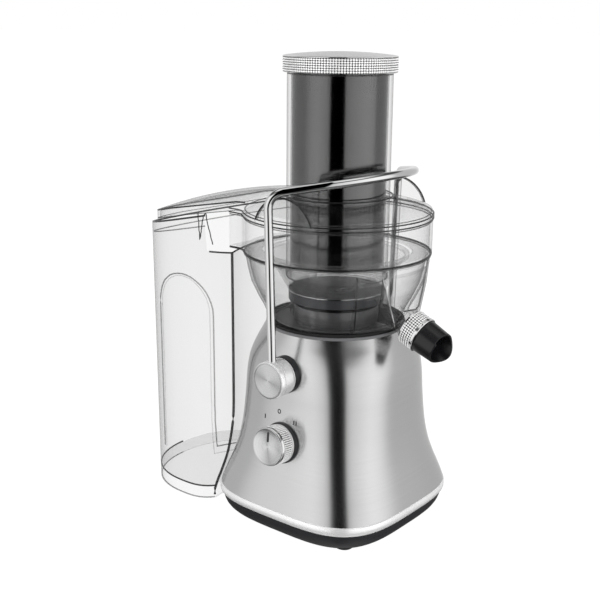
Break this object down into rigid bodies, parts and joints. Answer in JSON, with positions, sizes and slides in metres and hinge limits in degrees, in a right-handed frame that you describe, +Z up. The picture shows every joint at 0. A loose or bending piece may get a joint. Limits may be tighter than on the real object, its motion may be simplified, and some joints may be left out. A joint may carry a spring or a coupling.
{
  "type": "centrifugal juicer",
  "caption": "Countertop centrifugal juicer with a brushed steel body, clear bowl and lid, wide feed tube with pusher, locking arm, control knob, turning spout and pulp bin.",
  "frame": {"origin": "on the table, on the motor's axis", "axes": "+Z up along the motor's axis, +X towards the spout, -X towards the pulp bin, -Y towards the control knob"},
  "size_m": [0.3202, 0.1966, 0.4262],
  "materials": {
    "dark_pan": "moulded satin dark grey",
    "foot_rubber": "matt black rubber",
    "screw_steel": "plain steel",
    "bright_trim": "polished bright plate",
    "brushed_body": "brushed stainless steel",
    "deck_plastic": "satin dark grey",
    "motor_metal": "grey laminated steel",
    "copper_parts": "bare copper",
    "black_parts": "glossy black",
    "clear_plastic": "clear smooth plastic",
    "smoke_plastic": "dark smoke grey, glossy",
    "sieve_steel": "stamped stainless sheet",
    "rim_plastic": "satin grey plastic",
    "switch_plastic": "cream moulding",
    "plunger_brass": "turned brass",
    "board_green": "lacquered circuit board"
  },
  "bodies": {
    "base": {"base_plate": "dark_pan", "hub_bezels": "dark_pan", "knob_bezel": "dark_pan", "rubber_feet": "foot_rubber", "rubber_dampers": "foot_rubber", "bowl_seal": "foot_rubber", "shaft_seal": "foot_rubber", "spout_o_ring": "foot_rubber", "base_screws": "screw_steel", "bracket_screws": "screw_steel", "pivot_pins": "screw_steel", "lower_bearing": "screw_steel", "upper_bearing": "screw_steel", "chrome_trim": "bright_trim", "spout_nut": "bright_trim", "steel_body": "brushed_body", "top_deck": "deck_plastic", "motor_can": "motor_metal", "motor_bracket": "motor_metal", "stator_core": "motor_metal", "carbon_brushes": "black_parts", "interlock_switch": "black_parts", "cord_gland": "black_parts", "juice_bowl": "clear_plastic", "pulp_ring": "clear_plastic", "lid": "clear_plastic", "feed_tube": "clear_plastic", "rotary_switch": "switch_plastic", "control_board": "board_green"},
    "spinner": {"armature": "copper_parts", "motor_shaft": "screw_steel", "commutator": "copper_parts", "cooling_fan": "black_parts", "drive_coupling": "black_parts", "basket_hub": "deck_plastic", "grating_disc": "sieve_steel", "sieve_cone": "sieve_steel", "sieve_rim": "rim_plastic"},
    "pusher": {"pusher_tube": "smoke_plastic", "pusher_cap_ring": "bright_trim", "pusher_cap_top": "brushed_body"},
    "bin": {"pulp_bin": "clear_plastic"},
    "lock_arm": {"lock_arm": "bright_trim", "front_hub": "brushed_body", "rear_hub": "brushed_body"},
    "plunger": {"interlock_plunger": "plunger_brass"},
    "knob": {"knob_face": "brushed_body", "knob_grip": "bright_trim", "switch_shaft": "screw_steel"},
    "nozzle": {"spout_nozzle": "black_parts"}
  },
  "joints": [
    {"name": "basket_spin", "type": "hinge", "parent": "base", "child": "spinner", "pos_m": [0, 0, 0.12], "axis": [0, 0, 1], "continuous": true},
    {"name": "arm_swing", "type": "hinge", "parent": "base", "child": "lock_arm", "pos_m": [0, 0, 0.153], "axis": [0, 1, 0], "range_deg": [0, 100]},
    {"name": "pusher_slide", "type": "slide", "parent": "base", "child": "pusher", "axis": [0, 0, 1], "range_m": [0, 0.17]},
    {"name": "bin_slide", "type": "slide", "parent": "base", "child": "bin", "axis": [-1, 0, 0], "range_m": [0, 0.13]},
    {"name": "knob_turn", "type": "hinge", "parent": "base", "child": "knob", "pos_m": [0, -0.096, 0.0923], "axis": [0, -0.9945, 0.1045], "range_deg": [-45, 45]},
    {"name": "nozzle_turn", "type": "hinge", "parent": "base", "child": "nozzle", "pos_m": [0.0805, 0, 0.1968], "axis": [0.9135, 0, -0.4067], "range_deg": [-55, 125]},
    {"name": "plunger_press", "type": "slide", "parent": "base", "child": "plunger", "axis": [0, 1, 0], "range_m": [0, 0.002], "stiffness_N_per_m": 300}
  ]
}
